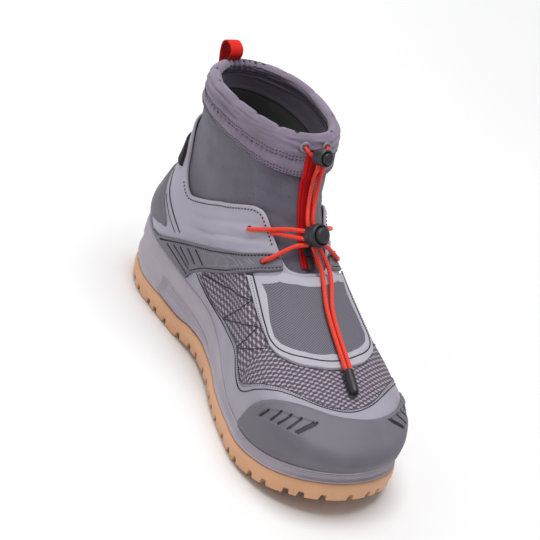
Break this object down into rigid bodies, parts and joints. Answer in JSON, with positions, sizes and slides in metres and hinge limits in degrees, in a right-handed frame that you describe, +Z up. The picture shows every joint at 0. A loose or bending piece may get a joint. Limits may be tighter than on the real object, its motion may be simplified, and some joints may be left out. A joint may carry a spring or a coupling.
{
  "type": "wading shoe",
  "caption": "Left wading shoe with a lugged gum outsole, cup midsole, moulded upper, neoprene sock shaft with front zip, cord locks and a webbing pull loop.",
  "frame": {"origin": "floor point under the middle of the shoe's box, measured without the free lace tails", "axes": "+X to the toe, +Y to the lateral side of the left foot, +Z up"},
  "size_m": [0.3084, 0.116, 0.1853],
  "materials": {
    "gum_rubber": "matte gum rubber",
    "foam_midsole": "matte moulded foam",
    "insole_fabric": "matte fabric over foam",
    "upper_shell": "matte mesh with moulded film",
    "neoprene": "matte jersey-faced neoprene",
    "cuff_fabric": "soft stretch fabric",
    "dark_overlay": "matte moulded film",
    "flap_fabric": "matte mesh in a moulded frame",
    "red_webbing": "woven tape",
    "black_webbing": "woven tape",
    "grommet_metal": "satin painted ring",
    "black_plastic": "satin moulded",
    "red_cord": "braided cord"
  },
  "bodies": {
    "shoe": {"outsole": "gum_rubber", "midsole": "foam_midsole", "insole": "insole_fabric", "upper": "upper_shell", "shaft": "neoprene", "cuff": "cuff_fabric", "toe_cap": "dark_overlay", "brace_medial": "dark_overlay", "brace_lateral": "dark_overlay", "heel_patch": "dark_overlay", "vamp_flap": "flap_fabric", "zip_tape": "red_webbing", "zip_slider": "black_plastic", "heel_pull_loop": "red_webbing", "rear_band": "black_webbing", "guide_ring_medial": "grommet_metal", "guide_ring_lateral": "grommet_metal", "top_lock_barrel": "black_plastic", "main_lock_barrel": "black_plastic", "lace_medial": "red_cord", "lace_lateral": "red_cord", "draw_cord_medial": "red_cord", "draw_cord_lateral": "red_cord", "collar_cord_medial": "red_cord", "collar_cord_lateral": "red_cord", "lace_tail_medial": "red_cord", "lace_tail_lateral": "red_cord", "end_sleeve": "black_plastic"},
    "zip_tab": {"zip_pull_tab": "black_plastic"},
    "top_button": {"top_lock_button": "black_plastic"},
    "main_button": {"main_lock_button": "black_plastic"}
  },
  "joints": [
    {"name": "zip_tab_hinge", "type": "hinge", "parent": "shoe", "child": "zip_tab", "pos_m": [0.01368, 0.00314, 0.11117], "axis": [0, -1, 0], "range_deg": [0, 30]},
    {"name": "top_button_push", "type": "slide", "parent": "shoe", "child": "top_button", "axis": [-0.9207, -0.1501, -0.3603], "range_m": [0, 0.003], "stiffness_N_per_m": 900, "springref_m": -0.002},
    {"name": "main_button_push", "type": "slide", "parent": "shoe", "child": "main_button", "axis": [-0.8026, -0.2006, -0.5618], "range_m": [0, 0.003], "stiffness_N_per_m": 900, "springref_m": -0.002}
  ]
}
